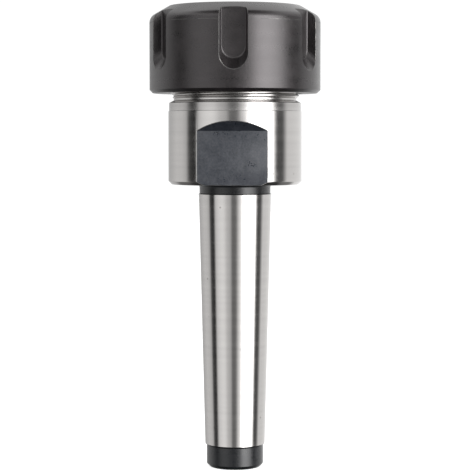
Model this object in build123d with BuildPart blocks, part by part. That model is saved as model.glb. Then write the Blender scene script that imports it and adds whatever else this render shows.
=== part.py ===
"""Collet chuck holder: a self-holding taper shank that carries a slit spring collet under a slotted nut.

Three pieces, in millimetres with +Z up: the turned holder, the collet that sits in its conical socket, and
the nut that screws over the nose and presses the collet home. The origin is the centre of the shank's
lower end face. Threads are plain cylinders at their outer diameter, apart by a running clearance.
"""

import os
from math import cos, radians, tan

from build123d import *

# Taper shank. The taper is given by its size at the gauge plane and its change of diameter along the axis.
shank_length = 70.0
gauge_diameter = 17.780
gauge_setback = 5.0
taper_rate = 1 / 20.020
taper_top_setback = 2.4
neck_undercut = 0.22

# Relieved lower end of the shank, below the ground taper
relief_diameter = 14.0
relief_length = 5.35
relief_end_chamfer = 0.8

# Drawbar hole: a tapped hole with a 60 degree centre at its mouth and a drill point at its end
drawbar_thread_diameter = 10.0
drawbar_core_diameter = 8.5
drawbar_hole_depth = 31.0
centre_half_angle = 30.0
centre_lead = 0.4
drill_half_angle = 59.0

# Ground collar, with a finely stepped upper band and a bevel down to the undercut
collar_diameter = 32.8
collar_length = 20.1
collar_corner_chamfer = 0.8
band_diameter = 32.45
band_height = 2.1
band_bevel = 0.15
undercut_lead = 0.5

# Two wrench flats that run out of the collar's underside, with a 45 degree run-out at their top
across_flats = 28.0
flat_height = 13.1

# Threaded nose
nose_thread_diameter = 32.0
nose_thread_pitch = 1.5
undercut_width = 0.5
undercut_depth = 0.93
nose_length = 13.5
nose_chamfer = 1.0

# Spring collet: an 8 degree cone at the back, an extraction groove, and a 30 degree cone at the front
collet_diameter = 26.0
collet_back_length = 28.3
collet_back_half_angle = 8.0
collet_standout = 3.98
collet_corner = 0.4
groove_diameter = 22.6
groove_width = 2.2
flange_diameter = 25.0
flange_width = 0.6
collet_front_length = 2.5
front_half_angle = 30.0
collet_bore_diameter = 16.0
collet_bore_chamfer = 0.3
slit_width = 0.8
slits_from_each_end = 8
front_slit_stop = 4.0
back_slit_stop = 2.6

# Conical socket behind the nose
seat_clearance = 0.06
socket_run_out = 0.4
socket_mouth_chamfer = 0.3
relief_bore_depth = 2.0

# Clamping nut
nut_wall = 5.0
nut_height = 21.3
nut_mouth_diameter = 21.8
rim_setback = 4.8
shoulder_slope = 30.0
shoulder_radius = 2.3
nut_foot_chamfer = 0.8
thread_clearance = 0.05
thread_mouth_chamfer = 0.8
nose_headroom = 2.8
thread_relief_depth = 0.25
thread_relief_width = 1.5

# Collet pocket and eccentric extraction lip inside the nut
flange_clearance = 0.2
pocket_clearance = 0.6
lip_float = 0.35
lip_clearance = 0.15
lip_eccentricity = 0.75

# Wrench slots in the nut, U-shaped and slightly wider at the outside than at their floor. Where the thread
# leaves the nut about its axis is chance, so the slots are a little off the line of the wrench flats.
slot_count = 6
slot_depth = 2.5
slot_floor_width = 6.0
slot_outer_width = 6.9
slot_floor_foot = 7.9
slot_outer_foot = 5.2
nut_clocking = 1.6
cutter_overrun = 1.0


def tilt(angle):
    """Return the sideways run of a slope for each millimetre along it."""
    return tan(radians(angle))


# Heights and radii of the shank
gauge_height = shank_length - gauge_setback
taper_top = shank_length - taper_top_setback
taper_top_radius = (gauge_diameter + (taper_top - gauge_height) * taper_rate) / 2
neck_radius = taper_top_radius - neck_undercut
neck_bottom = taper_top + neck_undercut
relief_radius = relief_diameter / 2
taper_foot_radius = (gauge_diameter - (gauge_height - relief_length) * taper_rate) / 2
taper_foot = relief_length + taper_foot_radius - relief_radius
taper_foot_radius = (gauge_diameter - (gauge_height - taper_foot) * taper_rate) / 2

# Heights and radii of the collar and nose
collar_radius = collar_diameter / 2
band_radius = band_diameter / 2
collar_top = shank_length + collar_length
band_bottom = collar_top - band_height
thread_radius = nose_thread_diameter / 2
undercut_radius = thread_radius - undercut_depth
undercut_bottom = collar_top + undercut_lead
undercut_top = undercut_bottom + undercut_width
thread_bottom = undercut_top + undercut_depth
nose_top = collar_top + nose_length

# Heights and radii of the collet, whose back cone stands out of the socket by the standout
back_slope = tilt(collet_back_half_angle)
front_slope = tilt(front_half_angle)
collet_shoulder = nose_top + collet_standout
collet_back = collet_shoulder - collet_back_length
collet_back_radius = collet_diameter / 2 - collet_back_length * back_slope
groove_bottom = collet_shoulder + collet_corner
groove_top = groove_bottom + groove_width
flange_top = groove_top + flange_width
flange_radius = flange_diameter / 2
collet_front = flange_top + collet_front_length
collet_face_radius = flange_radius - collet_front_length * front_slope

# Socket: the collet's back cone, moved out by the seat clearance
socket_offset = seat_clearance / cos(radians(collet_back_half_angle))
socket_mouth_radius = collet_diameter / 2 - collet_standout * back_slope + socket_offset
socket_bottom = collet_back - socket_run_out
socket_bottom_radius = collet_back_radius - socket_run_out * back_slope + socket_offset
relief_bore_bottom = socket_bottom - relief_bore_depth
relief_bore_point = relief_bore_bottom - socket_bottom_radius / tilt(drill_half_angle)

# Nut: its 30 degree cone rests on the collet's, and that sets how high the nut stands
nut_radius = nose_thread_diameter / 2 + nut_wall
nut_mouth_radius = nut_mouth_diameter / 2
front_offset = seat_clearance / cos(radians(front_half_angle))
nut_top = collet_front + (collet_face_radius - nut_mouth_radius + front_offset) / front_slope
nut_bottom = nut_top - nut_height
rim_radius = nut_radius - rim_setback
shoulder_height = nut_top - (nut_radius - rim_radius) * tilt(shoulder_slope)
flange_pocket_radius = flange_radius + flange_clearance
flange_pocket_top = nut_top - (flange_pocket_radius - nut_mouth_radius) / front_slope
lip_top = groove_top - lip_float
lip_bottom = groove_bottom + lip_float
lip_radius = flange_radius + lip_clearance
lip_blank_radius = groove_diameter / 2
pocket_radius = collet_diameter / 2 + pocket_clearance
nut_bore_radius = thread_radius + thread_clearance
nut_shoulder = nose_top + nose_headroom
nut_relief_radius = nut_bore_radius + thread_relief_depth
nut_relief_bottom = nut_shoulder - thread_relief_width

os.makedirs("parts", exist_ok=True)

# The holder is one bar, turned and ground: shank, collar, undercut and nose
with BuildPart() as holder_body:
    with BuildSketch(Plane.XZ):
        with BuildLine():
            Polyline(
                (0, nose_top),
                (0, 0),
                (relief_radius - relief_end_chamfer, 0),
                (relief_radius, relief_end_chamfer),
                (relief_radius, relief_length),
                (taper_foot_radius, taper_foot),
                (taper_top_radius, taper_top),
                (neck_radius, neck_bottom),
                (neck_radius, shank_length),
                (collar_radius - collar_corner_chamfer, shank_length),
                (collar_radius, shank_length + collar_corner_chamfer),
                (collar_radius, band_bottom),
                (band_radius, band_bottom),
                (band_radius, collar_top - band_bevel),
                (band_radius - band_bevel, collar_top),
                (undercut_radius, undercut_bottom),
                (undercut_radius, undercut_top),
                (thread_radius, thread_bottom),
                (thread_radius, nose_top - nose_chamfer),
                (thread_radius - nose_chamfer, nose_top),
                (0, nose_top),
            )
        make_face()
    revolve(axis=Axis.Z)

    # Socket for the collet, with a relief bore and drill point behind it
    with BuildSketch(Plane.XZ):
        with BuildLine():
            Polyline(
                (0, relief_bore_point),
                (socket_bottom_radius, relief_bore_bottom),
                (socket_bottom_radius, socket_bottom),
                (socket_mouth_radius - socket_mouth_chamfer * back_slope, nose_top - socket_mouth_chamfer),
                (socket_mouth_radius + socket_mouth_chamfer, nose_top),
                (0, nose_top),
                close=True,
            )
        make_face()
    revolve(axis=Axis.Z, mode=Mode.SUBTRACT)

    # Drawbar hole in the lower end
    core_radius = drawbar_core_diameter / 2
    centre_radius = drawbar_thread_diameter / 2 + centre_lead
    centre_depth = (centre_radius - core_radius) / tilt(centre_half_angle)
    with BuildSketch(Plane.XZ):
        with BuildLine():
            Polyline(
                (0, 0),
                (centre_radius, 0),
                (core_radius, centre_depth),
                (core_radius, drawbar_hole_depth),
                (0, drawbar_hole_depth + core_radius / tilt(drill_half_angle)),
                close=True,
            )
        make_face()
    revolve(axis=Axis.Z, mode=Mode.SUBTRACT)

    # Wrench flats, milled across the collar from its underside
    flat_distance = across_flats / 2
    run_out = collar_diameter / 2 - flat_distance + cutter_overrun
    flat_top = shank_length + flat_height
    with BuildSketch(Plane.YZ):
        with BuildLine():
            Polyline(
                (flat_distance, shank_length - cutter_overrun),
                (flat_distance + run_out, shank_length - cutter_overrun),
                (flat_distance + run_out, flat_top + run_out),
                (flat_distance, flat_top),
                close=True,
            )
        make_face()
        mirror(about=Plane.YZ)
    extrude(amount=collar_diameter / 2 + cutter_overrun, both=True, mode=Mode.SUBTRACT)

holder_body.part.label = "holder_body"
export_step(holder_body.part, "parts/holder_body.step")

# The collet is turned whole, then slit in turn from its front and its back, so that it closes evenly
with BuildPart() as spring_collet:
    with BuildSketch(Plane.XZ):
        with BuildLine():
            Polyline(
                (collet_bore_diameter / 2, collet_back),
                (collet_back_radius, collet_back),
                (collet_diameter / 2, collet_shoulder),
                (collet_diameter / 2 - collet_corner, groove_bottom),
                (groove_diameter / 2, groove_bottom),
                (groove_diameter / 2, groove_top),
                (flange_radius, groove_top),
                (flange_radius, flange_top),
                (collet_face_radius, collet_front),
                (collet_bore_diameter / 2 + collet_bore_chamfer, collet_front),
                (collet_bore_diameter / 2, collet_front - collet_bore_chamfer),
                close=True,
            )
        make_face()
    revolve(axis=Axis.Z)

    slit_length = collet_diameter / 2 + cutter_overrun
    slit_step = 360 / slits_from_each_end
    with BuildSketch(Plane.XY.offset(collet_back + front_slit_stop)):
        with PolarLocations(slit_length / 2, slits_from_each_end):
            Rectangle(slit_length, slit_width)
    extrude(amount=collet_front - collet_back - front_slit_stop, mode=Mode.SUBTRACT)
    with BuildSketch(Plane.XY.offset(collet_back)):
        with PolarLocations(slit_length / 2, slits_from_each_end, start_angle=slit_step / 2):
            Rectangle(slit_length, slit_width)
    extrude(amount=collet_back_length - back_slit_stop, mode=Mode.SUBTRACT)

spring_collet.part.label = "spring_collet"
export_step(spring_collet.part, "parts/spring_collet.step")

# Cutter for one wrench slot: a ruled loft from the U at the slot's floor to the wider U outside the nut
slot_spread = (slot_outer_width - slot_floor_width) / slot_depth
slot_ramp = (slot_floor_foot - slot_outer_foot) / slot_depth
cutter_reach = slot_depth + cutter_overrun
with BuildPart() as wrench_slot:
    for reach in (0, cutter_reach):
        width = slot_floor_width + slot_spread * reach
        foot = nut_bottom + slot_floor_foot - slot_ramp * reach
        with BuildSketch(Plane.XZ.offset(nut_radius - slot_depth + reach)):
            with BuildLine():
                side = width / 2
                root = foot + side
                top = nut_top + cutter_overrun
                CenterArc((0, root), side, 180, 180)
                Polyline((side, root), (side, top), (-side, top), (-side, root))
            make_face()
    loft(ruled=True)

# The nut, turned inside and out, with an undersized lip that the eccentric cut then opens
with BuildPart() as clamping_nut:
    with BuildSketch(Plane.XZ):
        with BuildLine():
            Polyline(
                (nut_bore_radius + thread_mouth_chamfer, nut_bottom),
                (nut_radius - nut_foot_chamfer, nut_bottom),
                (nut_radius, nut_bottom + nut_foot_chamfer),
            )
            FilletPolyline(
                (nut_radius, nut_bottom + nut_foot_chamfer),
                (nut_radius, shoulder_height),
                (rim_radius, nut_top),
                radius=shoulder_radius,
            )
            Polyline(
                (rim_radius, nut_top),
                (nut_mouth_radius, nut_top),
                (flange_pocket_radius, flange_pocket_top),
                (flange_pocket_radius, lip_top),
                (lip_blank_radius, lip_top),
                (lip_blank_radius, lip_bottom),
                (pocket_radius, lip_bottom),
                (pocket_radius, nut_shoulder),
                (nut_relief_radius, nut_shoulder),
                (nut_relief_radius, nut_relief_bottom + thread_relief_depth),
                (nut_bore_radius, nut_relief_bottom),
                (nut_bore_radius, nut_bottom + thread_mouth_chamfer),
                (nut_bore_radius + thread_mouth_chamfer, nut_bottom),
            )
        make_face()
    revolve(axis=Axis.Z)

    # Eccentric opening: the collet's flange passes it when tilted, and one side hooks into the groove
    with BuildSketch(Plane.XY.offset(lip_bottom)):
        with Locations((lip_eccentricity, 0)):
            Circle(lip_radius)
    extrude(amount=lip_top - lip_bottom, mode=Mode.SUBTRACT)

    with PolarLocations(0, slot_count, start_angle=nut_clocking):
        add(wrench_slot.part, mode=Mode.SUBTRACT)

clamping_nut.part.label = "clamping_nut"
export_step(clamping_nut.part, "parts/clamping_nut.step")

thread_engagement = nose_top - nut_bottom
print(f"overall height {nut_top:.2f}, nut bottom {nut_bottom:.2f}, nose top {nose_top:.2f}")
print(f"collet from {collet_back:.2f} to {collet_front:.2f}, socket mouth radius {socket_mouth_radius:.3f}")
print(f"thread engagement {thread_engagement:.2f}, turns to clear {thread_engagement / nose_thread_pitch:.2f}")
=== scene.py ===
# %% [markdown]
# # A collet chuck holder
# This lesson dresses a packed three-piece model: a ground steel holder with a taper shank, a slit spring
# collet in its socket, and a blackened nut that screws over the nose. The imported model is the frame. Every
# piece made here takes its place and main sizes from it, and rides on one of its bodies.

# %% Load the frame
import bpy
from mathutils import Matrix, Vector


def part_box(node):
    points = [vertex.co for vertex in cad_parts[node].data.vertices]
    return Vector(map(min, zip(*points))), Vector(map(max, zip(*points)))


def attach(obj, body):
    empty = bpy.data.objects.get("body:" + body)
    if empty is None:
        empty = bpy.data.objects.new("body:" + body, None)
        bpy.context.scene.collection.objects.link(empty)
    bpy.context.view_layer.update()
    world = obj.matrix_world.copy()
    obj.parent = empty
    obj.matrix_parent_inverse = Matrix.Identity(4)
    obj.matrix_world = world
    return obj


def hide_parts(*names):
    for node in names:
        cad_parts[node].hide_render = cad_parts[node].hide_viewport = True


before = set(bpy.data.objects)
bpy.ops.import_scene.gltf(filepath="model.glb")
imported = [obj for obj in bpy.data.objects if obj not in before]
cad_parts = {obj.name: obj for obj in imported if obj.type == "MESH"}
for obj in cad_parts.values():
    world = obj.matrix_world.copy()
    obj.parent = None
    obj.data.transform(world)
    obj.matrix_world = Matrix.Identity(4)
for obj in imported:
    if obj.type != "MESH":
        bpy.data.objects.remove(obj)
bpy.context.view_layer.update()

# %% [markdown]
# ## Sizes
# Heights and radii are written in millimetres, as on a workshop drawing, and turned into metres when a mesh
# is made. What the frame can tell is read from it. The rest are named sizes, each written once.

# %% Sizes read from the frame
import math
import bmesh
import bpy
from mathutils import Matrix, Vector

MM = 0.001
holder_low, holder_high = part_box("holder_body")
nut_low, nut_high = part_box("clamping_nut")
collet_low, collet_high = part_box("spring_collet")

nose_top = holder_high.z / MM
collar_radius = holder_high.x / MM
nut_bottom, nut_top = nut_low.z / MM, nut_high.z / MM
nut_radius = nut_high.x / MM
collet_back, collet_front = collet_low.z / MM, collet_high.z / MM
print(f"holder 0 to {nose_top:.2f}, nut {nut_bottom:.2f} to {nut_top:.2f}")
print(f"collet {collet_back:.2f} to {collet_front:.2f}")

# %% [markdown]
# The heights in between follow from those. The collar hangs a set distance under the nose's top, and the
# shank under the collar. The taper is known by its radius at the gauge plane, 5 mm below the collar, and by
# its change along the axis. The socket and the nut's lip are set by the collet that they hold.

# %% Heights that follow from the frame
collar_top = nose_top - 13.5
shank_length = collar_top - 20.1
gauge_radius = 8.89
taper_on_radius = 1 / 20.020 / 2


def taper_radius(height):
    """Radius of the taper at a height in mm."""
    return gauge_radius + (height - shank_length + 5.0) * taper_on_radius


collet_radius = 13.0
collet_slope = math.tan(math.radians(8))
front_slope = math.tan(math.radians(30))
collet_shoulder = collet_back + 28.3
groove_bottom = collet_shoulder + 0.4
flange_bottom = groove_bottom + 2.2
back_radius = collet_radius - (collet_shoulder - collet_back) * collet_slope
print(f"shank {shank_length:.2f} long, collar to {collar_top:.2f}, collet shoulder at {collet_shoulder:.2f}")

# %% [markdown]
# ## A lathe
# Turned parts are easiest to make as they are cut: an outline of corners, each with a radius, a height, the
# rounding of its edge and the finish of the stretch that follows. The lathe rounds the corners and spins
# the outline. Small roundings matter more than their size, because an edge catches light only if it has
# some width. A stretch with no finish is left open, and a thread is sewn in there later.

# %% A lathe for outlines with rounded corners
STEPS_AROUND = 192
WELD = 0.001 * MM


def rounded(corners, turn_per_step=math.radians(15)):
    """Return (radius, height, finish) points for corners given as (radius, height, rounding, finish)."""
    points = []
    for i, (radius, height, rounding, finish) in enumerate(corners):
        here = Vector((radius, height))
        if rounding == 0 or i in (0, len(corners) - 1):
            points.append((radius, height, finish))
            continue
        back = Vector(corners[i - 1][:2]) - here
        ahead = Vector(corners[i + 1][:2]) - here
        half = back.angle(ahead) / 2
        room = [way.length * (0.98 if corners[j][2] == 0 else 0.45) for way, j in ((back, i - 1), (ahead, i + 1))]
        setback = min(rounding / math.tan(half), *room)
        bend = setback * math.tan(half)
        centre = here + (back.normalized() + ahead.normalized()).normalized() * bend / math.sin(half)
        start = here + back.normalized() * setback - centre
        turn = math.pi - 2 * half
        if start.cross(here + ahead.normalized() * setback - centre) < 0:
            turn = -turn
        steps = max(2, math.ceil(abs(turn) / turn_per_step))
        for step in range(steps + 1):
            spoke = Matrix.Rotation(turn * step / steps, 2) @ start
            point = centre + spoke
            points.append((point.x, point.y, finish if step == steps else corners[i - 1][3]))
    return points


def spin(bm, points):
    """Spin (radius, height, finish) points round the Z axis into the mesh."""
    rings = []
    for radius, height, finish in points:
        count = 1 if radius == 0 else STEPS_AROUND
        turns = [math.tau * i / STEPS_AROUND for i in range(count)]
        rings.append([bm.verts.new((radius * MM * math.cos(a), radius * MM * math.sin(a), height * MM)) for a in turns])
    for (low, high, point) in zip(rings, rings[1:], points):
        if point[2] is None:
            continue
        for i in range(STEPS_AROUND):
            j = (i + 1) % STEPS_AROUND
            corners = [low[i % len(low)], low[j % len(low)], high[j % len(high)], high[i % len(high)]]
            face = bm.faces.new(list(dict.fromkeys(corners)))
            face.material_index = point[2]


def as_piece(name, bm, finishes):
    """Weld the mesh, turn its faces outwards, and return it as an object with these materials."""
    bmesh.ops.remove_doubles(bm, verts=bm.verts, dist=WELD)
    bmesh.ops.recalc_face_normals(bm, faces=bm.faces)
    mesh = bpy.data.meshes.new(name)
    bm.to_mesh(mesh)
    bm.free()
    for material in finishes:
        mesh.materials.append(material)
    piece = bpy.data.objects.new(name, mesh)
    bpy.context.scene.collection.objects.link(piece)
    return piece


# %% [markdown]
# ## Node trees from short formulas
# Geometry trees and shader groups both do sums, and both use the same Math node. These helpers write a tree
# as a list of formulas: each call adds one node and returns its output, and a plain number given in place of
# an output is set on the socket itself.

# %% Helpers for node trees
def feed(tree, value, socket):
    """Link an output to the socket, or set a plain value on it."""
    if isinstance(value, bpy.types.NodeSocket):
        tree.links.new(value, socket)
    else:
        socket.default_value = value


def node(tree, kind, settings=None, **inputs):
    """Add a node, with its settings and its inputs by name, where an underscore stands for a space."""
    made = tree.nodes.new(kind)
    for name, value in (settings or {}).items():
        setattr(made, name, value)
    for name, value in inputs.items():
        feed(tree, value, made.inputs[name.replace("_", " ")])
    return made


def sums(tree, operation, *values):
    """Add a Math node and return its result."""
    made = tree.nodes.new("ShaderNodeMath")
    made.operation = operation
    for value, socket in zip(values, made.inputs):
        feed(tree, value, socket)
    return made.outputs[0]


def new_tree(kind, name, inputs, outputs):
    """Make a node tree with named sockets, and return it with its input and output nodes."""
    tree = bpy.data.node_groups.new(name, kind)
    for side, sockets in (("INPUT", inputs), ("OUTPUT", outputs)):
        for socket_name, (socket_type, value) in sockets.items():
            socket = tree.interface.new_socket(socket_name, in_out=side, socket_type="NodeSocket" + socket_type)
            if value is not None:
                socket.default_value = value
    return tree, tree.nodes.new("NodeGroupInput").outputs, tree.nodes.new("NodeGroupOutput").inputs


def grown(name, tree, base=None, **inputs):
    """Run a geometry tree with these inputs on an object, and return the result as a plain mesh."""
    carrier = bpy.data.objects.new(name, base or bpy.data.meshes.new(name))
    bpy.context.scene.collection.objects.link(carrier)
    modifier = carrier.modifiers.new(name, "NODES")
    modifier.node_group = tree
    for socket in tree.interface.items_tree:
        key = socket.name.replace(" ", "_").lower()
        if socket.in_out == "INPUT" and key in inputs:
            modifier[socket.identifier] = inputs[key]
    view = bpy.context.evaluated_depsgraph_get()
    mesh = bpy.data.meshes.new_from_object(carrier.evaluated_get(view), depsgraph=view)
    mesh.name = name
    carrier.modifiers.clear()
    bpy.data.objects.remove(carrier)
    print(f"{name}: {len(mesh.vertices)} points, {len(mesh.polygons)} faces")
    return mesh


# %% [markdown]
# ## Turned, ground and blackened surfaces
# A turned or ground surface carries fine lines that run round the axis, because the tool stood still while
# the work turned. Noise that is squeezed along the axis and left long around it gives such lines, with no
# seam, since it reads the piece's own coordinates. One group makes them for every bright finish here, and
# each material gives its own line spacing and depth.

# %% The group for lines round the axis
def lines_group():
    tree, given, out = new_tree(
        "ShaderNodeTree", "lines_round_axis",
        {"Lines per mm": ("Float", 4.0), "Length around mm": ("Float", 12.0), "Detail": ("Float", 4.0)},
        {"Height": ("Float", None), "Streak": ("Float", None)},
    )
    place = node(tree, "ShaderNodeTexCoord").outputs["Object"]
    axes = node(tree, "ShaderNodeSeparateXYZ", Vector=place).outputs
    reach = sums(tree, "SQRT", sums(tree, "ADD", sums(tree, "POWER", axes["X"], 2.0), sums(tree, "POWER", axes["Y"], 2.0)))
    across = sums(tree, "MULTIPLY", given["Lines per mm"], 1 / MM)
    along = sums(tree, "DIVIDE", 1 / MM, given["Length around mm"])
    squeezed = node(
        tree, "ShaderNodeCombineXYZ",
        X=sums(tree, "MULTIPLY", axes["X"], along),
        Y=sums(tree, "MULTIPLY", axes["Y"], along),
        Z=sums(tree, "MULTIPLY", sums(tree, "ADD", axes["Z"], sums(tree, "MULTIPLY", reach, 0.8)), across),
    ).outputs["Vector"]
    fine = node(tree, "ShaderNodeTexNoise", Vector=squeezed, Scale=1.0, Detail=given["Detail"], Roughness=0.6)
    broad = node(tree, "ShaderNodeTexNoise", Vector=squeezed, Scale=0.22, Detail=1.0, Roughness=0.5)
    tree.links.new(fine.outputs["Fac"], out["Height"])
    tree.links.new(broad.outputs["Fac"], out["Streak"])
    return tree


# %% [markdown]
# Black oxide is grown on the steel in a hot salt bath. It is thin, so it shows the surface under it, and it
# comes out a little patchy, with a fine grain and the odd pit or rubbed speck. A second group gives patches,
# grain and specks. Blackened pieces use it strongly, and bright ones only for their few stains.

# %% The group for patches, grain and specks
def mottle_group():
    tree, given, out = new_tree(
        "ShaderNodeTree", "patches_and_specks",
        {"Patch mm": ("Float", 3.0), "Grain mm": ("Float", 0.12), "Speck mm": ("Float", 1.2), "Speck share": ("Float", 0.1)},
        {"Patches": ("Float", None), "Grain": ("Float", None), "Specks": ("Float", None)},
    )
    place = node(tree, "ShaderNodeTexCoord").outputs["Object"]

    def noise(size, detail):
        scale = sums(tree, "DIVIDE", 1 / MM, given[size])
        return node(tree, "ShaderNodeTexNoise", Vector=place, Scale=scale, Detail=detail, Roughness=0.55).outputs["Fac"]

    cells = node(tree, "ShaderNodeTexVoronoi", Vector=place, Scale=sums(tree, "DIVIDE", 1 / MM, given["Speck mm"]))
    lot = node(tree, "ShaderNodeSeparateColor", Color=cells.outputs["Color"]).outputs["Red"]
    chosen = sums(tree, "LESS_THAN", lot, given["Speck share"])
    near = node(tree, "ShaderNodeMapRange", Value=cells.outputs["Distance"], From_Min=0.10, From_Max=0.22, To_Min=1.0, To_Max=0.0)
    tree.links.new(noise("Patch mm", 3.0), out["Patches"])
    tree.links.new(noise("Grain mm", 2.0), out["Grain"])
    tree.links.new(sums(tree, "MULTIPLY", chosen, near.outputs["Result"]), out["Specks"])
    return tree


lines_tree = lines_group()
mottle_tree = mottle_group()
print("groups:", lines_tree.name, mottle_tree.name)

# %% Helpers for materials
def between(tree, factor, low, high, clip=(0.3, 0.7)):
    """Map a noise value to a range, with its rare ends clipped."""
    made = node(tree, "ShaderNodeMapRange", Value=factor, From_Min=clip[0], From_Max=clip[1], To_Min=low, To_Max=high)
    return made.outputs["Result"]


def blended(tree, factor, first, second):
    """Mix two colours, each a plain colour or an output."""
    made = node(tree, "ShaderNodeMix", {"data_type": "RGBA"})
    for value, socket in ((factor, made.inputs[0]), (first, made.inputs[6]), (second, made.inputs[7])):
        feed(tree, (*value, 1.0) if isinstance(value, tuple) else value, socket)
    return made.outputs[2]


def finish_start(name, **lines_and_patches):
    """Start a material, and return its tree, its shader and the outputs of the two shared groups."""
    material = bpy.data.materials.new(name)
    material.use_nodes = True
    tree = material.node_tree
    shader = tree.nodes["Principled BSDF"]
    groups = []
    for group in (lines_tree, mottle_tree):
        placed = node(tree, "ShaderNodeGroup", {"node_tree": group})
        for socket in placed.inputs:
            key = socket.name.replace(" ", "_").lower()
            if key in lines_and_patches:
                socket.default_value = lines_and_patches[key]
        groups.append(placed.outputs)
    return material, tree, shader, groups[0], groups[1]


# %% [markdown]
# ## The bright steels
# The taper, collar and socket are cylindrically ground, with close shallow lines and a little spread of
# gloss. The undercut and the threads were turned with a single point, so their lines are coarser. The
# collet is ground all over and a shade darker. All three are one recipe with other numbers.

# %% Bright steel materials
def bright_steel(name, dark, light, gloss, depth, stain, **sizes):
    material, tree, shader, lines, marks = finish_start(name, **sizes)
    tone = blended(tree, between(tree, lines["Streak"], 0.0, 1.0), dark, light)
    stained = blended(tree, sums(tree, "MULTIPLY", marks["Specks"], stain), tone, (0.10, 0.09, 0.085))
    tree.links.new(stained, shader.inputs["Base Color"])
    rough = sums(tree, "ADD", between(tree, lines["Streak"], *gloss), between(tree, marks["Patches"], -0.02, 0.03))
    tree.links.new(rough, shader.inputs["Roughness"])
    shader.inputs["Metallic"].default_value = 1.0
    bump = node(tree, "ShaderNodeBump", Strength=1.0, Distance=depth * MM, Height=lines["Height"])
    tree.links.new(bump.outputs["Normal"], shader.inputs["Normal"])
    return material


ground_steel = bright_steel(
    "ground_steel", (0.575, 0.560, 0.548), (0.615, 0.598, 0.584), (0.10, 0.14), 0.0006, 0.35,
    lines_per_mm=3.2, length_around_mm=60.0, detail=4.0, speck_mm=1.6, speck_share=0.05,
)
turned_steel = bright_steel(
    "turned_steel", (0.50, 0.487, 0.477), (0.60, 0.585, 0.573), (0.18, 0.25), 0.003, 0.3,
    lines_per_mm=2.6, length_around_mm=60.0, detail=2.0, speck_mm=1.2, speck_share=0.05,
)
collet_steel = bright_steel(
    "collet_steel", (0.47, 0.475, 0.48), (0.56, 0.56, 0.565), (0.18, 0.26), 0.0018, 0.3,
    lines_per_mm=4.0, length_around_mm=10.0, detail=4.0, speck_mm=1.0, speck_share=0.04,
)
print("bright steels:", ground_steel.name, turned_steel.name, collet_steel.name)

# %% [markdown]
# ## The blackened steels
# The nut is satin black: a dark coat whose gloss comes from a clear oiled surface, so it reflects as a
# varnish does and not as bare metal. The wrench flats, the neck and the shank's end were left black when the
# rest of the holder was ground, and are bluer and blotchier. Where an edge has rubbed through, bare steel
# shows.

# %% Blackened steel materials
def black_oxide(name, dark, light, ior, glint, gloss, oil, grain_depth, speck_tone, **sizes):
    material, tree, shader, lines, marks = finish_start(name, **sizes)
    mottle = sums(tree, "ADD", sums(tree, "MULTIPLY", marks["Grain"], 0.6), sums(tree, "MULTIPLY", marks["Patches"], 0.4))
    tone = blended(tree, between(tree, mottle, 0.0, 1.0, (0.36, 0.64)), dark, light)
    specked = blended(tree, marks["Specks"], tone, speck_tone)
    tree.links.new(specked, shader.inputs["Base Color"])
    rough = sums(tree, "ADD", between(tree, marks["Patches"], *gloss), between(tree, marks["Grain"], -0.04, 0.04))
    rough = sums(tree, "ADD", rough, between(tree, lines["Streak"], -0.03, 0.03))
    tree.links.new(rough, shader.inputs["Roughness"])
    shader.inputs["IOR"].default_value = ior
    shader.inputs["Specular Tint"].default_value = (*glint, 1.0)
    shader.inputs["Coat Weight"].default_value = oil
    shader.inputs["Coat Roughness"].default_value = 0.32
    relief = sums(tree, "ADD", sums(tree, "MULTIPLY", lines["Height"], 0.5), marks["Grain"])
    relief = sums(tree, "SUBTRACT", relief, sums(tree, "MULTIPLY", marks["Specks"], 0.8))
    bump = node(tree, "ShaderNodeBump", Strength=1.0, Distance=grain_depth * MM, Height=relief)
    tree.links.new(bump.outputs["Normal"], shader.inputs["Normal"])
    return material


def worn_edge(name, light, rubbed_from, rubbed_to):
    material, tree, shader, lines, marks = finish_start(name, patch_mm=1.8, grain_mm=0.2, speck_share=0.0)
    rub = between(tree, marks["Patches"], 0.0, 1.0, (rubbed_from, rubbed_to))
    tree.links.new(blended(tree, rub, (0.05, 0.05, 0.05), light), shader.inputs["Base Color"])
    tree.links.new(between(tree, rub, 0.2, 1.0, (0.0, 1.0)), shader.inputs["Metallic"])
    tree.links.new(between(tree, marks["Grain"], 0.34, 0.46), shader.inputs["Roughness"])
    return material


nut_oxide = black_oxide(
    "nut_oxide", (0.0014, 0.0009, 0.0012), (0.0215, 0.0182, 0.0192), 1.58, (1.0, 0.935, 0.95), (0.29, 0.35), 0.45, 0.006, (0.03, 0.03, 0.03),
    lines_per_mm=2.5, length_around_mm=30.0, patch_mm=4.0, grain_mm=0.26, speck_mm=1.5, speck_share=0.06,
)
flat_oxide = black_oxide(
    "flat_oxide", (0.010, 0.015, 0.026), (0.048, 0.053, 0.066), 1.8, (1.0, 1.0, 1.0), (0.30, 0.38), 0.6, 0.002, (0.012, 0.012, 0.013),
    lines_per_mm=2.0, length_around_mm=4.0, patch_mm=2.4, grain_mm=0.42, speck_mm=0.9, speck_share=0.28,
)
shank_oxide = black_oxide(
    "shank_oxide", (0.008, 0.009, 0.011), (0.018, 0.019, 0.022), 1.42, (1.0, 1.0, 1.0), (0.26, 0.34), 0.4, 0.002, (0.05, 0.055, 0.06),
    lines_per_mm=3.0, length_around_mm=6.0, patch_mm=1.6, grain_mm=0.2, speck_mm=0.9, speck_share=0.05,
)
rubbed_edge = worn_edge("rubbed_edge", (0.16, 0.155, 0.15), 0.38, 0.62)
bright_edge = worn_edge("bright_edge", (0.42, 0.415, 0.41), 0.30, 0.46)
print("blackened steels:", nut_oxide.name, flat_oxide.name, shank_oxide.name)
print("worn edges:", rubbed_edge.name, bright_edge.name)

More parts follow.
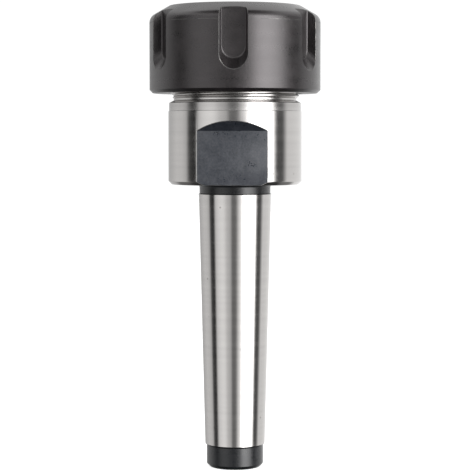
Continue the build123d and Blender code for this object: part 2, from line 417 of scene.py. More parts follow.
# %% [markdown]
# ## Screw threads
# A thread is one groove that climbs by its pitch in each turn. The tree starts from a flat grid: its columns
# become the steps around, and its rows become stations along the groove, such as crest, flank and root. Each
# row climbs as it goes round, so the last column meets the first one turn higher. Heights are held between
# the thread's two ends, where a cone bevels the first and last turns, and the points that fall together are
# merged. The end rings match the lathe's, so the thread can be sewn into the gap left for it. A thread
# inside a hole uses the same tree with its sense reversed.

# %% The tree that winds a thread
OUTER_STATIONS = [(0.02, 0.0), (0.105, 0.0), (0.30, 0.5), (0.479, 1.0), (0.5625, 1.03), (0.646, 1.0), (0.825, 0.5)]
INNER_STATIONS = [(0.0, 0.0), (0.125, 0.0), (0.28, 0.5), (0.45, 1.0), (0.5625, 1.0), (0.675, 1.0), (0.844, 0.5)]


def thread_tree(name, stations):
    """A tree that winds a thread whose groove has these (share of pitch, share of depth) stations."""
    tree, given, out = new_tree(
        "GeometryNodeTree", name,
        {
            "Geometry": ("Geometry", None), "Around": ("Int", 96), "Turns": ("Int", 5),
            "Start": ("Float", 0.0), "Pitch": ("Float", 0.0015), "Outer radius": ("Float", 0.016), "Depth": ("Float", 0.001),
            "Bottom": ("Float", 0.0), "Top": ("Float", 0.01), "Bottom radius": ("Float", 0.015), "Top radius": ("Float", 0.015),
            "Bevel": ("Float", 1.0), "Sense": ("Float", 1.0), "Material": ("Material", None),
        },
        {"Geometry": ("Geometry", None)},
    )
    count = len(stations)
    rows = sums(tree, "MULTIPLY", given["Turns"], float(count))
    grid = node(
        tree, "GeometryNodeMeshGrid", Size_X=1.0, Size_Y=1.0,
        Vertices_X=sums(tree, "ADD", given["Around"], 1.0), Vertices_Y=sums(tree, "ADD", rows, 1.0),
    ).outputs["Mesh"]
    where = node(tree, "ShaderNodeSeparateXYZ", Vector=node(tree, "GeometryNodeInputPosition").outputs[0]).outputs
    share = sums(tree, "ADD", where["X"], 0.5)
    row = sums(tree, "ROUND", sums(tree, "MULTIPLY", sums(tree, "ADD", where["Y"], 0.5), rows))
    turn = sums(tree, "FLOOR", sums(tree, "DIVIDE", sums(tree, "ADD", row, 0.5), float(count)))
    station = sums(tree, "SUBTRACT", row, sums(tree, "MULTIPLY", turn, float(count)))

    def chosen(column):
        switch = tree.nodes.new("GeometryNodeIndexSwitch")
        switch.data_type = "FLOAT"
        while len(switch.index_switch_items) < count:
            switch.index_switch_items.new()
        feed(tree, station, switch.inputs["Index"])
        for i, values in enumerate(stations):
            switch.inputs[i + 1].default_value = values[column]
        return switch.outputs[0]

    climbed = sums(tree, "ADD", sums(tree, "ADD", turn, chosen(0)), share)
    free_height = sums(tree, "ADD", given["Start"], sums(tree, "MULTIPLY", climbed, given["Pitch"]))
    height = sums(tree, "MINIMUM", sums(tree, "MAXIMUM", free_height, given["Bottom"]), given["Top"])
    slope = sums(tree, "MULTIPLY", given["Bevel"], given["Sense"])
    radius = sums(tree, "SUBTRACT", given["Outer radius"], sums(tree, "MULTIPLY", given["Depth"], chosen(1)))
    from_bottom = sums(tree, "MULTIPLY", sums(tree, "SUBTRACT", height, given["Bottom"]), slope)
    from_top = sums(tree, "MULTIPLY", sums(tree, "SUBTRACT", given["Top"], height), slope)
    radius = sums(tree, "MULTIPLY", radius, given["Sense"])
    for end, away in (("Bottom radius", from_bottom), ("Top radius", from_top)):
        limit = sums(tree, "MULTIPLY", sums(tree, "ADD", given[end], away), given["Sense"])
        radius = sums(tree, "MINIMUM", radius, limit)
    radius = sums(tree, "MULTIPLY", radius, given["Sense"])
    angle = sums(tree, "MULTIPLY", share, math.tau)
    wound = node(
        tree, "ShaderNodeCombineXYZ",
        X=sums(tree, "MULTIPLY", radius, sums(tree, "COSINE", angle)),
        Y=sums(tree, "MULTIPLY", radius, sums(tree, "SINE", angle)), Z=height,
    ).outputs["Vector"]
    moved = node(tree, "GeometryNodeSetPosition", Geometry=grid, Position=wound).outputs[0]
    merged = node(tree, "GeometryNodeMergeByDistance", Geometry=moved, Distance=WELD / 2).outputs[0]
    real = node(tree, "GeometryNodeRealizeInstances", Geometry=merged).outputs[0]
    coated = node(tree, "GeometryNodeSetMaterial", Geometry=real, Material=given["Material"]).outputs[0]
    tree.links.new(coated, out["Geometry"])
    return tree


outer_thread = thread_tree("outer_thread_turns", OUTER_STATIONS)
inner_thread = thread_tree("inner_thread_turns", INNER_STATIONS)


def wind(name, tree, datum, pitch, bottom, top, sizes, material):
    """Wind a thread between two heights in mm, with its turns counted from the datum height."""
    skipped = math.floor((bottom - datum) / pitch) - 2
    turns = math.ceil((top - datum) / pitch) + 1 - skipped
    lengths = {key: value * MM for key, value in sizes.items() if key not in ("bevel", "sense")}
    plain = {key: value for key, value in sizes.items() if key in ("bevel", "sense")}
    return grown(
        name, tree, around=STEPS_AROUND, turns=turns, start=(datum + skipped * pitch) * MM, pitch=pitch * MM,
        bottom=bottom * MM, top=top * MM, material=material, **lengths, **plain,
    )


# %% [markdown]
# ## Patterns round the axis, and cuts
# Slots, flats and slits repeat round the axis. A small tree places copies of one cutter at equal angles, and
# the result is cut from the turned piece in one Boolean step, as an indexing head does on a mill.

# %% The tree that indexes a cutter round the axis
def index_tree():
    tree, given, out = new_tree(
        "GeometryNodeTree", "indexed_round_axis",
        {
            "Geometry": ("Geometry", None), "Count": ("Int", 6), "First angle": ("Float", 0.0),
            "Material": ("Material", None),
        },
        {"Geometry": ("Geometry", None)},
    )
    points = node(tree, "GeometryNodePoints", Count=given["Count"]).outputs[0]
    number = node(tree, "GeometryNodeInputIndex").outputs[0]
    part_turn = sums(tree, "DIVIDE", sums(tree, "MULTIPLY", number, math.tau), given["Count"])
    angle = sums(tree, "ADD", part_turn, given["First angle"])
    turned = node(tree, "FunctionNodeAxisAngleToRotation", Axis=(0, 0, 1), Angle=angle)
    copies = node(
        tree, "GeometryNodeInstanceOnPoints", Points=points, Instance=given["Geometry"], Rotation=turned.outputs[0],
    ).outputs[0]
    real = node(tree, "GeometryNodeRealizeInstances", Geometry=copies).outputs[0]
    coated = node(tree, "GeometryNodeSetMaterial", Geometry=real, Material=given["Material"]).outputs[0]
    tree.links.new(coated, out["Geometry"])
    return tree


indexed = index_tree()


def cut_round(piece, name, cutter, count, material, first_angle=0.0, crosses_itself=False):
    """Cut copies of a cutter, placed round the axis, from a piece, and leave this material on the cut."""
    pattern = grown(name, indexed, base=cutter, count=count, first_angle=first_angle, material=material)
    tool = bpy.data.objects.new(name, pattern)
    bpy.context.scene.collection.objects.link(tool)
    modifier = piece.modifiers.new(name, "BOOLEAN")
    modifier.operation = "DIFFERENCE"
    modifier.solver = "EXACT"
    modifier.object = tool
    modifier.material_mode = "TRANSFER"
    modifier.use_self = crosses_itself
    view = bpy.context.evaluated_depsgraph_get()
    result = bpy.data.meshes.new_from_object(piece.evaluated_get(view), depsgraph=view)
    piece.modifiers.clear()
    piece.data = result
    bpy.data.objects.remove(tool)


def cutter_mesh(name, rings, closed=False):
    """Join rings of points, each with as many points, into a closed cutter."""
    bm = bmesh.new()
    rows = [[bm.verts.new(Vector(point) * MM) for point in ring] for ring in rings]
    for here, ahead in zip(rows, rows[1:] + rows[:1] if closed else rows[1:]):
        for i in range(len(here)):
            j = (i + 1) % len(here)
            bm.faces.new((here[i], here[j], ahead[j], ahead[i]))
    if not closed:
        bm.faces.new(rows[0])
        bm.faces.new(rows[-1])
    bmesh.ops.dissolve_degenerate(bm, dist=WELD, edges=bm.edges)
    made = as_piece(name, bm, [])
    mesh = made.data
    bpy.data.objects.remove(made)
    return mesh


# %% [markdown]
# A milled edge is never left sharp: a file or a brush takes off a tenth of a millimetre, and that thin band
# is what shines in a photograph. The tool for it is a long wedge that follows the edge. At each station it
# needs the edge point and two directions that lead away from the edge, one on the cut and one on the skin.

# %% A wedge that breaks an edge
EDGE_BREAK = 0.09


def edge_wedge(name, stations, width=EDGE_BREAK):
    """Return a closed wedge along a loop of (edge point, way on the cut, way on the skin) stations."""
    rings = []
    for i, (point, on_cut, on_skin) in enumerate(stations):
        along = (stations[(i + 1) % len(stations)][0] - stations[i - 1][0]).normalized()
        on_cut = (on_cut - along * on_cut.dot(along)).normalized()
        on_skin = (on_skin - along * on_skin.dot(along)).normalized()
        first = point + on_cut * width
        second = point + on_skin * width
        spread = (second - first) * 0.4
        rings.append([first - spread, second + spread, point - (on_cut + on_skin) * width])
    return cutter_mesh(name, rings, closed=True)


# %% [markdown]
# ## The holder
# One bar of steel, turned and ground. Its outline runs from the end of the drawbar hole down to the mouth,
# round the shank, collar and nose, and back down into the conical socket. The taper is the only surface that
# has to be exact on the real thing, and it is given by its radius at two heights.

# %% Outline of the holder
GROUND, SHANK_OXIDE, TURNED, EDGE = 0, 1, 2, 4
holder_finishes = [ground_steel, shank_oxide, turned_steel, flat_oxide, bright_edge]

relief_radius = 7.0
relief_length = 5.35
taper_foot = relief_length + taper_radius(relief_length) - relief_radius
taper_top = shank_length - 2.4
neck_step = 0.22
neck_radius = taper_radius(taper_top) - neck_step
collar_chamfer = 0.85
band_drop = 2.1
band_radius = 16.225
band_bevel = 0.15
nose_thread_radius = 16.0
thread_pitch = 1.5
nose_root_radius = 15.07
undercut_bottom = collar_top + 0.5
thread_start = undercut_bottom + 0.45
drawbar_pitch = 1.5
drawbar_radius = 5.05
drawbar_core = 4.25
centre_radius = 5.4
centre_slope = math.tan(math.radians(30))
drill_rise = math.tan(math.radians(31))
hole_depth = 31.0
drawbar_end = 29.0
drawbar_start = (centre_radius - drawbar_radius) / centre_slope
socket_gap = 0.06 / math.cos(math.radians(8))
socket_mouth_radius = collet_radius - (collet_shoulder - nose_top) * collet_slope + socket_gap
socket_bottom = collet_back - 0.4
socket_bottom_radius = back_radius - 0.4 * collet_slope + socket_gap
relief_bottom = socket_bottom - 2.0

holder_outline = [
    (0, hole_depth + drawbar_core * drill_rise, 0, TURNED),
    (drawbar_core, hole_depth, 0, TURNED),
    (drawbar_core, drawbar_end + 1.4, 0, TURNED),
    (drawbar_radius, drawbar_end, 0, None),
    (drawbar_radius, drawbar_start, 0, TURNED),
    (centre_radius, 0, 0.1, SHANK_OXIDE),
    (relief_radius - 0.8, 0, 0.15, SHANK_OXIDE),
    (relief_radius, 0.8, 0.25, SHANK_OXIDE),
    (relief_radius, relief_length, 0.1, SHANK_OXIDE),
    (taper_radius(taper_foot), taper_foot, 0.08, GROUND),
    (taper_radius(taper_top), taper_top, 0.06, SHANK_OXIDE),
    (neck_radius, taper_top + neck_step, 0.1, SHANK_OXIDE),
    (neck_radius, shank_length, 0.8, SHANK_OXIDE),
    (collar_radius - 2.6, shank_length, 0, GROUND),
    (collar_radius - collar_chamfer, shank_length, 0.3, GROUND),
    (collar_radius, shank_length + collar_chamfer, 0.4, GROUND),
    (collar_radius, collar_top - band_drop, 0.1, EDGE),
    (band_radius, collar_top - band_drop, 0.05, TURNED),
    (band_radius, collar_top - band_bevel, 0.08, TURNED),
    (band_radius - band_bevel, collar_top, 0.08, TURNED),
    (nose_root_radius, undercut_bottom, 0.1, TURNED),
    (nose_root_radius, thread_start, 0, None),
    (nose_root_radius - 0.05, nose_top, 0, TURNED),
    (socket_mouth_radius + 0.3, nose_top, 0.08, TURNED),
    (socket_mouth_radius, nose_top - 0.3, 0.08, GROUND),
    (socket_bottom_radius, socket_bottom, 0.1, TURNED),
    (socket_bottom_radius, relief_bottom, 0.2, TURNED),
    (0, relief_bottom - socket_bottom_radius * drill_rise, 0, None),
]

nose_thread = wind(
    "nose_thread", outer_thread, collar_top, thread_pitch, thread_start, nose_top,
    {"outer_radius": nose_thread_radius, "depth": nose_thread_radius - nose_root_radius - 0.03,
     "bottom_radius": nose_root_radius, "top_radius": nose_root_radius - 0.05, "bevel": 1.0, "sense": 1.0},
    turned_steel,
)
drawbar_thread = wind(
    "drawbar_thread", inner_thread, 0.0, drawbar_pitch, drawbar_start, drawbar_end,
    {"outer_radius": drawbar_radius, "depth": drawbar_radius - drawbar_core,
     "bottom_radius": drawbar_radius, "top_radius": drawbar_radius, "bevel": centre_slope, "sense": -1.0},
    turned_steel,
)

# %% Turn the holder and sew its threads in
def turned_piece(name, outline, threads, finishes, thread_finish):
    """Spin an outline, sew thread meshes into its gaps, and return the piece."""
    bm = bmesh.new()
    spin(bm, rounded(outline))
    for thread in threads:
        turned_faces = len(bm.faces)
        bm.from_mesh(thread)
        bm.faces.ensure_lookup_table()
        for face in bm.faces[turned_faces:]:
            face.material_index = thread_finish
        bpy.data.meshes.remove(thread)
    piece = as_piece(name, bm, finishes)
    open_edges = sum(1 for count in edge_use(piece.data).values() if count != 2)
    print(f"{name}: {len(piece.data.polygons)} faces, {open_edges} edges not shared by two faces")
    return piece


def edge_use(mesh):
    """Count the faces on each edge of a mesh."""
    used = {}
    for face in mesh.polygons:
        for key in face.edge_keys:
            used[key] = used.get(key, 0) + 1
    return used


holder = turned_piece("taper_holder", holder_outline, [nose_thread, drawbar_thread], holder_finishes, TURNED)

# %% [markdown]
# The two wrench flats are milled across the collar after turning and run out upwards at 45 degrees. Seen
# from the front the run-out meets the collar in a low arch. The wedge that breaks the flat's edge follows
# it up one side, over the arch, down the other side and along the underside.

# %% Mill the wrench flats
flat_distance = 14.0
flat_top = shank_length + 13.1
run_out = collar_radius - flat_distance
overrun = 1.5


def collar_radius_at(height):
    """Radius of the collar's skin, with the cone at its lower corner."""
    return collar_radius - max(0.0, shank_length + collar_chamfer - height)


wide = collar_radius + overrun
flat_profile = [
    (-flat_distance, shank_length - overrun), (-flat_distance - run_out - overrun, shank_length - overrun),
    (-flat_distance - run_out - overrun, flat_top + run_out + overrun), (-flat_distance, flat_top),
]
flat_cutter = cutter_mesh("wrench_flats", [[(side, y, z) for y, z in flat_profile] for side in (-wide, wide)])


def flat_edge():
    """Stations round the edge of the front flat."""
    rise = [shank_length + 0.02 + collar_chamfer * i / 4 for i in range(4)]
    straight = flat_top - shank_length - collar_chamfer
    rise += [shank_length + collar_chamfer + straight * i / 6 for i in range(7)]
    rise += [flat_top + run_out * math.sin(math.radians(a)) for a in range(6, 85, 6)]
    side = []
    for height in rise:
        depth = flat_distance + max(0.0, height - flat_top)
        skin = collar_radius_at(height)
        half_width = math.sqrt(max(0.0, skin ** 2 - depth ** 2))
        point = Vector((half_width, -depth, height))
        on_cut = Vector((-half_width, 0, 0)) if height <= flat_top else Vector((-half_width, 1.0, -1.0))
        outwards = Vector((half_width, -depth, 0)).normalized()
        lean = 1.0 if height < shank_length + collar_chamfer else 0.0
        skin_normal = (outwards - Vector((0, 0, lean))).normalized()
        side.append((point, on_cut, skin_normal))
    crown = (Vector((0, -collar_radius, flat_top + run_out)), Vector((0, 1, -1)), Vector((0, -1, 0)))
    loop = side + [crown] + mirrored(side)[::-1]
    first, last = loop[0][0], loop[-1][0]
    for share in (0.8, 0.6, 0.4, 0.2):
        loop.append((first.lerp(last, 1 - share), Vector((0, 0, 1)), Vector((0, 0, -1))))
    return with_skin_ways(loop, Vector((0, -collar_radius, (shank_length + flat_top) / 2)))


def mirrored(stations):
    """The same stations on the other side of the YZ plane."""
    return [tuple(Vector((-way.x, way.y, way.z)) for way in station) for station in stations]


def with_skin_ways(loop, middle):
    """Turn each station's skin normal into the way that leads on the skin away from the middle."""
    stations = []
    for i, (point, on_cut, normal) in enumerate(loop):
        along = (loop[(i + 1) % len(loop)][0] - loop[i - 1][0]).normalized()
        way = normal.cross(along).normalized()
        if way.dot(point - middle) < 0:
            way = -way
        stations.append((point, on_cut, way))
    return stations


cut_round(holder, "wrench_flats", flat_cutter, 2, flat_oxide)
cut_round(holder, "flat_edges", edge_wedge("flat_edges", flat_edge()), 2, bright_edge, crosses_itself=True)
print("holder after milling:", len(holder.data.polygons), "faces")

# %% [markdown]
# ## The nut
# Turned from bar as well, with a thread of the same pitch inside. Its thread is counted from the same datum
# as the nose's, so crest meets groove. Behind the front cone is a pocket for the collet's flange and a lip
# that is bored off centre: the collet tilts in past its wide side, and its narrow side hooks into the
# collet's groove and pulls it out when the nut is undone.

# %% Turn the nut
OXIDE, RUBBED = 0, 1
nut_finishes = [nut_oxide, rubbed_edge]

rim_radius = nut_radius - 4.8
shoulder_corner = nut_top - (nut_radius - rim_radius) * front_slope
shoulder_rounding = 2.3
nut_foot = 0.8
nut_bore = 16.05
nut_thread_crest = 15.19
mouth_radius = 10.9
flange_pocket_radius = 12.7
flange_pocket_top = nut_top - (flange_pocket_radius - mouth_radius) / front_slope
lip_bottom, lip_top = groove_bottom + 0.35, flange_bottom - 0.35
lip_blank = 11.3
pocket_radius = 13.6
nut_shoulder = nose_top + 2.8
relief_start = nut_shoulder - 1.5
relief_bore = 16.3
nut_thread_bottom = nut_bottom + 0.8
mark_top = shoulder_corner - shoulder_rounding * math.tan(math.radians(30)) - 0.05
mark_width = 0.14

nut_outline = [
    (nut_bore, nut_thread_bottom, 0, OXIDE),
    (nut_bore + 0.8, nut_bottom, 0.1, OXIDE),
    (nut_radius - nut_foot, nut_bottom, 0.15, OXIDE),
    (nut_radius, nut_bottom + nut_foot, 0.3, OXIDE),
    (nut_radius, mark_top - mark_width, 0, RUBBED),
    (nut_radius, mark_top, 0, OXIDE),
    (nut_radius, shoulder_corner, shoulder_rounding, OXIDE),
    (rim_radius, nut_top, 0.15, OXIDE),
    (mouth_radius, nut_top, 0.15, OXIDE),
    (flange_pocket_radius, flange_pocket_top, 0.05, OXIDE),
    (flange_pocket_radius, lip_top, 0, OXIDE),
    (lip_blank, lip_top, 0, OXIDE),
    (lip_blank, lip_bottom, 0, OXIDE),
    (pocket_radius, lip_bottom, 0.1, OXIDE),
    (pocket_radius, nut_shoulder, 0.1, OXIDE),
    (relief_bore, nut_shoulder, 0.1, OXIDE),
    (relief_bore, relief_start + relief_bore - nut_bore, 0, OXIDE),
    (nut_bore, relief_start, 0, None),
    (nut_bore, nut_thread_bottom, 0, None),
]
nut_thread = wind(
    "nut_thread", inner_thread, collar_top, thread_pitch, nut_thread_bottom, relief_start,
    {"outer_radius": nut_bore, "depth": nut_bore - nut_thread_crest,
     "bottom_radius": nut_bore, "top_radius": nut_bore, "bevel": 1.0, "sense": -1.0},
    nut_oxide,
)
nut = turned_piece("slotted_nut", nut_outline, [nut_thread], nut_finishes, OXIDE)

# %% Bore the lip off centre
lip_radius = 12.65
lip_offset = 0.75
lip_turns = [math.tau * i / 96 for i in range(96)]
lip_circle = [(lip_offset + lip_radius * math.cos(a), lip_radius * math.sin(a)) for a in lip_turns]
lip_rings = [[(x, y, height) for x, y in lip_circle] for height in (lip_bottom - 0.5, lip_top + 0.01)]
cut_round(nut, "lip_bore", cutter_mesh("lip_bore", lip_rings), 1, nut_oxide)

# %% [markdown]
# The six wrench slots are U-shaped and a little wider outside than at their floor, and their foot runs out
# to the skin in a slope. The corner between floor and wall is rounded, and that small hollow is what draws
# the thin light line along the floor. The cutter is built as rows of points that go up one side of the slot,
# round its floor's corners and down the other side, and the rows climb from the lowest point of the U.

# %% Mill the wrench slots
slot_count = 6
slot_depth = 2.5
slot_half_floor, slot_half_outer = 3.0, 3.45
slot_floor_foot, slot_outer_foot = 7.9, 5.2
slot_corner = 0.3
cutter_reach = slot_depth + 1.0
nut_clocking = math.radians(1.6)


def slot_point(share, reach, inset=0.0, half_turns=10, climbs=12):
    """Half width and height of the slot's wall, by row number and by reach out from its floor."""
    half = slot_half_floor + (slot_half_outer - slot_half_floor) * reach / slot_depth
    centre = nut_bottom + slot_floor_foot + (slot_outer_foot - slot_floor_foot) * reach / slot_depth + half
    if share <= half_turns:
        angle = math.pi / 2 * share / half_turns
        return (half - inset) * math.sin(angle), centre - (half - inset) * math.cos(angle)
    return half - inset, centre + (nut_top + 1.0 - centre) * (share - half_turns) / climbs


corner_turns = [math.radians(22.5 * i) for i in range(5)]
wall = [(slot_corner * (1 - math.cos(a)), slot_corner * (1 - math.sin(a))) for a in corner_turns]
wall.append((cutter_reach, 0.0))
slot_rings = []
for row in range(0, 23):
    places = [(slot_point(row, reach, inset), slot_depth - nut_radius - reach) for reach, inset in wall]
    ring = [(-x, y, z) for (x, z), y in places]
    slot_rings.append(ring + [(x, y, z) for (x, z), y in reversed(places)])
slot_cutter = cutter_mesh("wrench_slots", slot_rings)

# %% [markdown]
# The wedge for the slot needs the line where the slot's wall meets the nut's skin. The skin's radius is
# known at each height from the nut's outline, so the meeting point is found by halving the reach.

# %% Break the edges of the slots
def skin_radius(height):
    """Radius of the nut's skin at a height, with the slope's lean in the second place."""
    setback = shoulder_rounding * math.tan(math.radians(30))
    straight_end = shoulder_corner - setback
    centre = nut_radius - shoulder_rounding
    if height <= straight_end:
        return nut_radius, 0.0
    angle = math.asin(min(1.0, (height - straight_end) / shoulder_rounding))
    if angle < math.radians(60):
        return centre + shoulder_rounding * math.cos(angle), angle
    return rim_radius + (nut_top - height) / front_slope, math.radians(60)


def slot_edge():
    """Stations round the edge of the front slot."""
    side = []
    rows = [row / 2 for row in range(0, 45)]
    for row in rows:
        low, high = 0.0, cutter_reach
        x, z = slot_point(row, 0.0)
        if math.hypot(x, nut_radius - slot_depth) > skin_radius(z)[0] - 0.02:
            break
        for halving in range(30):
            reach = (low + high) / 2
            x, z = slot_point(row, reach)
            outside = math.hypot(x, nut_radius - slot_depth + reach) > skin_radius(z)[0]
            low, high = (low, reach) if outside else (reach, high)
        x, z = slot_point(row, low)
        point = Vector((x, slot_depth - nut_radius - low, z))
        floor_x, floor_z = slot_point(row, 0.0)
        inwards = Vector((floor_x, slot_depth - nut_radius, floor_z)) - point
        side.append((point, inwards, skin_normal_at(point)))
    floor_half = slot_half_floor
    across = [floor_half * share for share in (0.97, 0.5, 0.0)]
    for x in across:
        reach = math.hypot(x, nut_radius - slot_depth)
        z = nut_top - (reach - rim_radius) * front_slope
        point = Vector((x, slot_depth - nut_radius, z))
        side.append((point, Vector((0, 0, -1)), skin_normal_at(point)))
    loop = side + mirrored(side[1:-1])[::-1]
    return with_skin_ways(loop, Vector((0, slot_depth - nut_radius, nut_bottom + 13.0)))


def skin_normal_at(point):
    """Outward normal of the nut's skin at a point on it."""
    lean = skin_radius(point.z)[1]
    outwards = Vector((point.x, point.y, 0)).normalized()
    return outwards * math.cos(lean) + Vector((0, 0, math.sin(lean)))


slot_wedge = edge_wedge("slot_edges", slot_edge())
cut_round(nut, "wrench_slots", slot_cutter, slot_count, nut_oxide, nut_clocking)
cut_round(nut, "slot_edges", slot_wedge, slot_count, rubbed_edge, nut_clocking, crosses_itself=True)
print("nut after milling:", len(nut.data.polygons), "faces")

# %% [markdown]
# ## The collet
# A hardened steel sleeve with a long cone at the back and a short one in front, and between them the groove
# that the nut's lip catches. It is slit eight times from each end in turn, so that it closes evenly.

# %% Turn and slit the collet
collet_finishes = [collet_steel]
collet_bore = 8.0
groove_radius = 11.3
flange_radius = 12.5
flange_top = flange_bottom + 0.6
face_radius = flange_radius - (collet_front - flange_top) * front_slope

collet_outline = [
    (collet_bore, collet_back + 0.3, 0, 0),
    (collet_bore + 0.3, collet_back, 0.05, 0),
    (back_radius, collet_back, 0.2, 0),
    (collet_radius, collet_shoulder, 0.1, 0),
    (collet_radius - 0.4, groove_bottom, 0.08, 0),
    (groove_radius, groove_bottom, 0.2, 0),
    (groove_radius, flange_bottom, 0.2, 0),
    (flange_radius, flange_bottom, 0.08, 0),
    (flange_radius, flange_top, 0.08, 0),
    (face_radius, collet_front, 0.12, 0),
    (collet_bore + 0.3, collet_front, 0.05, 0),
    (collet_bore, collet_front - 0.3, 0.05, 0),
    (collet_bore, collet_back + 0.3, 0, None),
]
collet = turned_piece("spring_collet_sleeve", collet_outline, [], collet_finishes, 0)

slit_count = 8
slit_half = 0.4


def slit_cutter(name, bottom, top):
    """A thin blade from inside the bore to outside the collet, between two heights."""
    ring = [(4.0, -slit_half), (collet_radius + 1.0, -slit_half), (collet_radius + 1.0, slit_half), (4.0, slit_half)]
    return cutter_mesh(name, [[(x, y, z) for x, y in ring] for z in (bottom, top)])


front_slits = slit_cutter("front_slits", collet_back + 4.0, collet_front + 1.0)
back_slits = slit_cutter("back_slits", collet_back - 1.0, collet_shoulder - 2.6)
cut_round(collet, "front_slits", front_slits, slit_count, collet_steel)
cut_round(collet, "back_slits", back_slits, slit_count, collet_steel, math.pi / slit_count)
print("collet after slitting:", len(collet.data.polygons), "faces")

# %% [markdown]
# ## Smooth skins, crisp edges
# A turned surface is smooth and its edges are crisp. Faces are shaded smooth, and an edge is marked sharp
# where the faces on its two sides turn by more than a set angle. Each piece then rides on its body and
# stands for the node that it dresses.

# %% Shade the pieces and join them to the frame
SHARP = math.radians(19)

for piece, body, node_name, slot_name in (
    (holder, "holder", "holder_body", "ground_steel"),
    (collet, "collet", "spring_collet", "collet_steel"),
    (nut, "nut", "clamping_nut", "blackened_steel"),
):
    piece.data.shade_smooth()
    piece.data.set_sharp_from_angle(angle=SHARP)
    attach(piece, body)
    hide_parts(node_name)
    triangles = sum(len(face.vertices) - 2 for face in piece.data.polygons)
    loose = sum(1 for count in edge_use(piece.data).values() if count != 2)
    print(f"{piece.name}: {triangles} triangles, {loose} edges not shared by two faces")

# %% [markdown]
# ## The floor
# A plain pale sheet. It gives off a little light of its own, as a light table does, so that it stays white
# right up to the foot of the object. It neither mirrors in the polished steel nor lights the undersides: those
# rays pass it by and meet the dark lower part of the tent.

# %% Lay the floor
floor_size = 4.0
bpy.ops.mesh.primitive_plane_add(size=floor_size, location=(0, 0, 0))
floor = bpy.context.object
floor.name = "floor"
paper = bpy.data.materials.new("pale_paper")
paper.use_nodes = True
paper_shader = paper.node_tree.nodes["Principled BSDF"]
paper_shader.inputs["Base Color"].default_value = (0.80, 0.80, 0.80, 1.0)
paper_shader.inputs["Roughness"].default_value = 0.9
paper_shader.inputs["Emission Color"].default_value = (1.0, 1.0, 1.0, 1.0)
paper_shader.inputs["Emission Strength"].default_value = 0.75
floor.data.materials.append(paper)
floor.visible_glossy = False
floor.visible_diffuse = False

# %% [markdown]
# ## The light tent
# Polished cylinders are photographed inside a tent: white sheets with gaps between them, so that the metal
# shows clean bands of white and dark. Here the tent is painted on the world by compass direction, as a list
# of angles and brightnesses. Zero is the camera's side and angles grow to the right. The strong sheet stands
# at the right, a weaker one at the left, and the camera's own side is dark. A second list goes by height and
# gives the share of the walls that is left there and the light of the roof or floor: dimmer walls below and
# dark straight down, a bright ring overhead, and a dark opening straight up that leans towards the camera.
# The camera sees plain white.

# %% Hang the light tent
ORBIT = math.radians(2.7)
TENT = [
    (-180, 0.66), (-150, 0.54), (-120, 0.78), (-104, 0.76), (-93, 0.62), (-88, 0.20), (-85, 0.08),
    (-73, 0.03), (-69, 0.30), (-66, 0.76), (-56, 0.98), (-44, 1.08), (-36, 1.02), (-27, 0.75), (-15, 0.58),
    (-9, 0.20), (1, 0.20), (5, 0.32), (10, 0.75), (18, 1.25), (24, 2.2), (30, 6.0), (45, 5.8), (58, 4.4),
    (67, 3.0), (71, 1.3), (74, 0.45), (78, 0.10), (90, 0.12), (94, 0.34), (102, 0.88), (180, 1.04),
]
ROOF = [
    (-1.0, 0.0, 0.05), (-0.76, 0.0, 0.05), (-0.70, 0.16, 0.05), (-0.54, 0.24, 0.05), (-0.42, 1.0, 0.0),
    (0.56, 1.0, 0.0), (0.68, 0.0, 1.2), (0.84, 0.0, 1.2), (0.90, 0.0, 0.08), (1.0, 0.0, 0.08),
]
LEAN = 0.17
BRIGHTEST = max(level for angle, level in TENT)


def painted(tree, factor, stops):
    """A colour ramp with (place, red, green, blue) stops."""
    ramp = node(tree, "ShaderNodeValToRGB", Fac=factor)
    elements = ramp.color_ramp.elements
    while len(elements) < len(stops):
        elements.new(0.5)
    for element, (place, *colour) in zip(elements, stops):
        element.position = place
        element.color = (*colour, 1.0)
    return ramp.outputs["Color"]


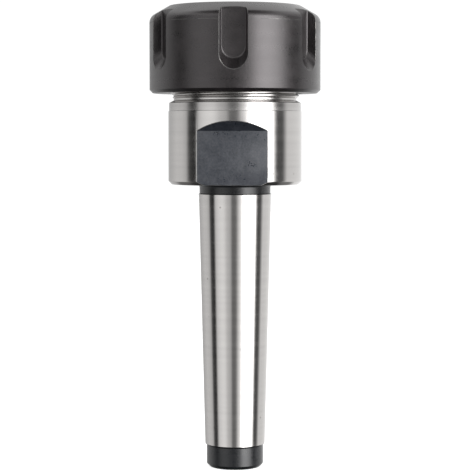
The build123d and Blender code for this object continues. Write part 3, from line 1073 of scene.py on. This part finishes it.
def hang_tent():
    world = bpy.data.worlds.new("light_tent")
    bpy.context.scene.world = world
    world.use_nodes = True
    tree = world.node_tree
    tree.nodes.clear()
    way = node(tree, "ShaderNodeTexCoord").outputs["Generated"]
    axes = node(tree, "ShaderNodeSeparateXYZ", Vector=way).outputs
    compass = sums(tree, "ARCTAN2", axes["X"], sums(tree, "MULTIPLY", axes["Y"], -1.0))
    turn = sums(tree, "SUBTRACT", compass, ORBIT)
    share = sums(tree, "ADD", sums(tree, "DIVIDE", turn, math.tau), 0.5)
    walls = painted(tree, share, [((angle + 180) / 360, *[level / BRIGHTEST] * 3) for angle, level in TENT])
    toward = sums(tree, "SUBTRACT", sums(tree, "MULTIPLY", axes["X"], math.sin(ORBIT)), axes["Y"])
    leaning = sums(tree, "MULTIPLY", sums(tree, "MULTIPLY", toward, LEAN), sums(tree, "MAXIMUM", axes["Z"], 0.0))
    rise = sums(tree, "MULTIPLY", sums(tree, "ADD", sums(tree, "ADD", axes["Z"], leaning), 1.0), 0.5)
    roof = painted(tree, rise, [((z + 1) / 2, wall, own / BRIGHTEST, 0.0) for z, wall, own in ROOF])
    parts = node(tree, "ShaderNodeSeparateColor", Color=roof).outputs
    level = sums(tree, "ADD", sums(tree, "MULTIPLY", walls, parts["Red"]), parts["Green"])
    seen = node(tree, "ShaderNodeLightPath").outputs["Is Camera Ray"]
    light = node(tree, "ShaderNodeBackground", Strength=sums(tree, "MULTIPLY", level, BRIGHTEST))
    plain = node(tree, "ShaderNodeBackground", Strength=1.05)
    for background in (light, plain):
        background.inputs["Color"].default_value = (1.0, 1.0, 1.0, 1.0)
    mixed = node(tree, "ShaderNodeMixShader", Fac=seen)
    tree.links.new(light.outputs[0], mixed.inputs[1])
    tree.links.new(plain.outputs[0], mixed.inputs[2])
    tree.links.new(mixed.outputs[0], tree.nodes.new("ShaderNodeOutputWorld").inputs["Surface"])
    return world


hang_tent()
bpy.context.scene.view_settings.view_transform = "Standard"

# %% [markdown]
# ## The camera
# The object fills the height of the picture. The long lens and the slight tilt were found by matching the
# ellipses of the nut's rim and foot, which open by a different amount at each height. The camera stands a
# little to the right of the wrench flat's middle, and the tent is turned with it.

# %% Place the camera
IMAGE_WIDTH = 470
focal_pixels = 1788
sensor_width = 36.0
camera_distance = 0.4414
camera_height = 0.08197
camera_tilt = 3.18

lens = bpy.data.cameras.new("camera")
lens.sensor_width = sensor_width
lens.lens = focal_pixels / IMAGE_WIDTH * sensor_width
lens.clip_start = 0.01
camera = bpy.data.objects.new("camera", lens)
camera.location = (camera_distance * math.sin(ORBIT), -camera_distance * math.cos(ORBIT), camera_height)
camera.rotation_euler = (math.radians(90 - camera_tilt), 0, ORBIT)
bpy.context.scene.collection.objects.link(camera)
bpy.context.scene.camera = camera
print(f"lens {lens.lens:.1f} mm at {camera_distance * 1000:.0f} mm")
